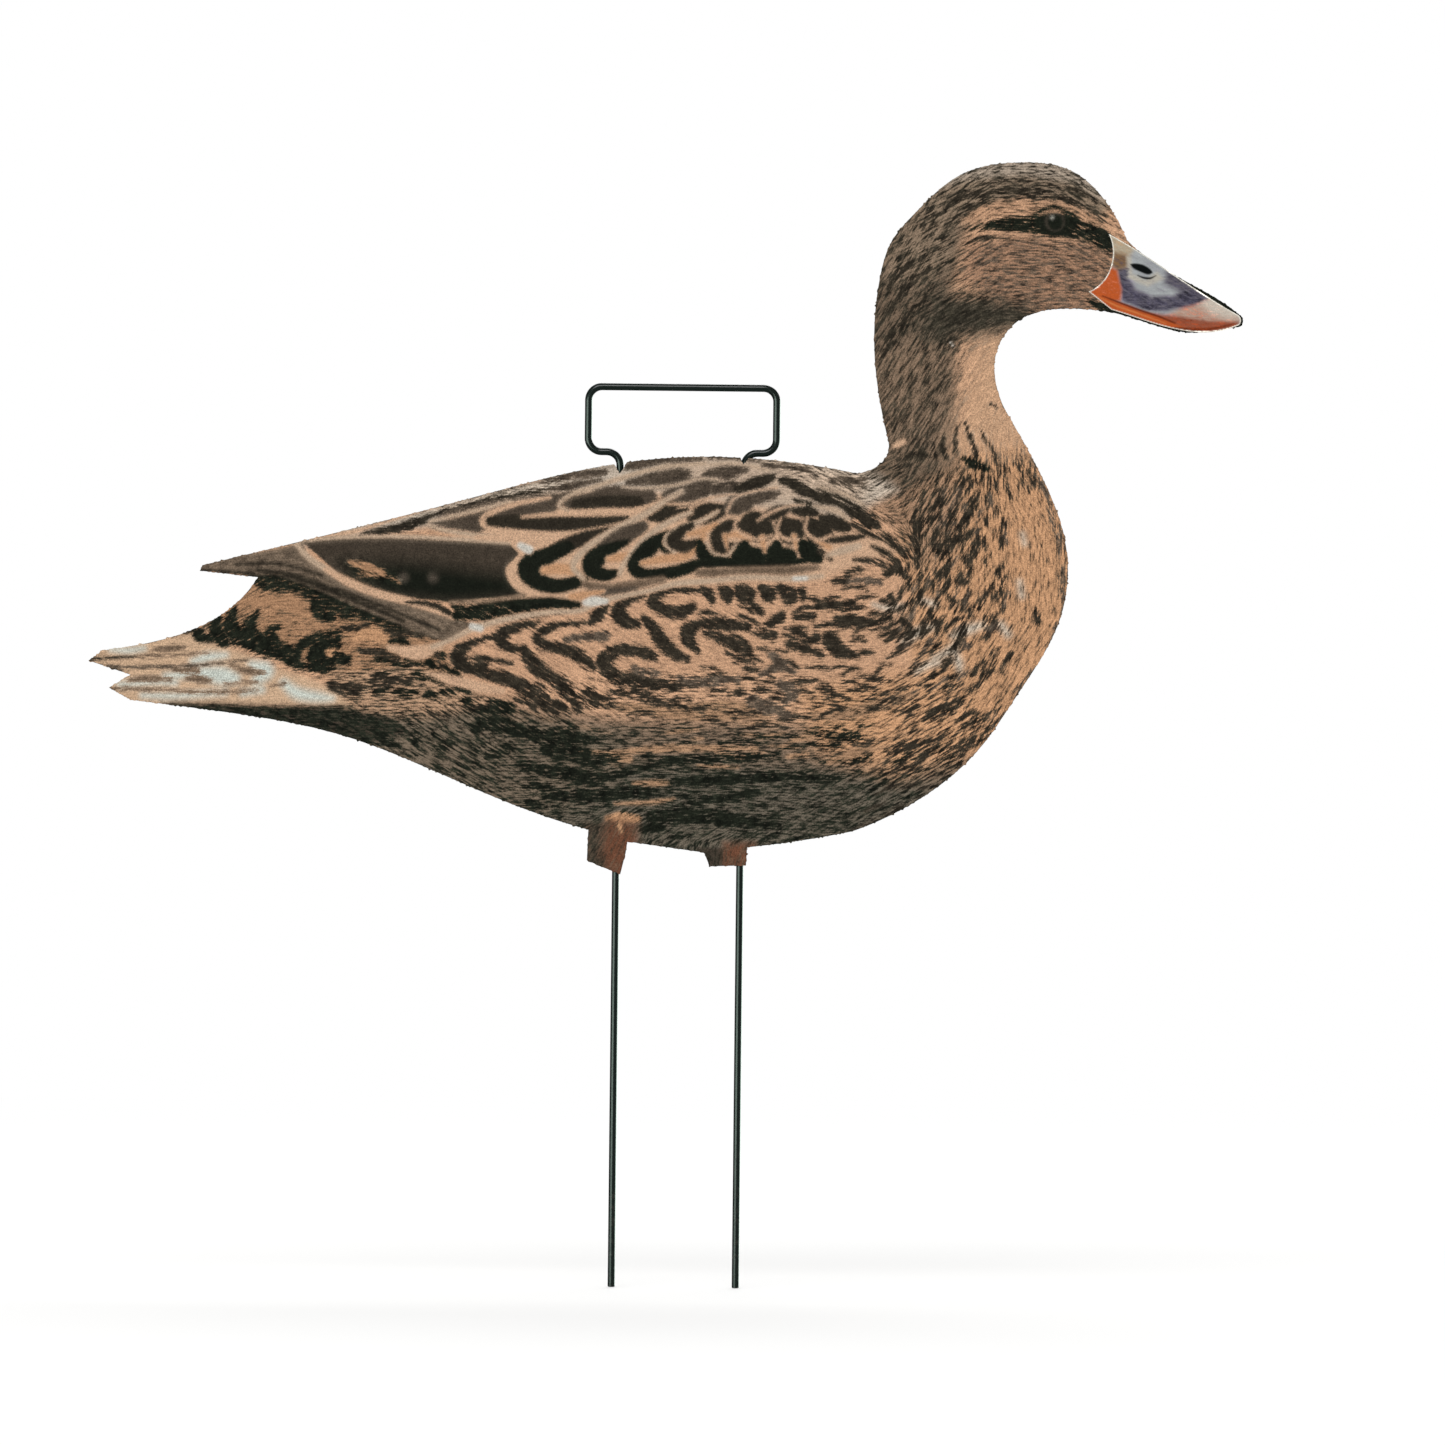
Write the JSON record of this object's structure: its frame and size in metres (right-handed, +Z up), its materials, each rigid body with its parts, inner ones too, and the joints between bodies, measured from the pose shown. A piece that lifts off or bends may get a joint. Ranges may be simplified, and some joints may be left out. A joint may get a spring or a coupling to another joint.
{
  "type": "waterfowl field decoy",
  "caption": "Flat printed duck silhouette with a glossy bill decal, carried on a bent wire stake that has a carrying handle on top and straight ground legs below.",
  "frame": {"origin": "midway between the two leg tips of the wire stake, at ground-entry level", "axes": "+X towards the bill, +Z up along the stake's legs, Y through the thickness of the sheet; the right side of the bird faces -Y"},
  "size_m": [0.506, 0.0054, 0.4966],
  "materials": {
    "core_plastic": "black extruded twin-wall polypropylene, satin",
    "printed_flock": "short matte flock printed with brown, buff and black plumage",
    "bill_print": "glossy printed vinyl, orange below and blue-grey above",
    "powder_coat": "semi-gloss black powder coat on steel wire"
  },
  "bodies": {
    "silhouette": {"core_sheet": "core_plastic", "printed_skin_right": "printed_flock", "printed_skin_left": "printed_flock", "bill_decal_right": "bill_print", "bill_decal_left": "bill_print"},
    "stake": {"wire_stake": "powder_coat"}
  },
  "joints": [
    {"name": "stake_pull", "type": "slide", "parent": "silhouette", "child": "stake", "axis": [0, 0, 1], "range_m": [0, 0.372]}
  ]
}
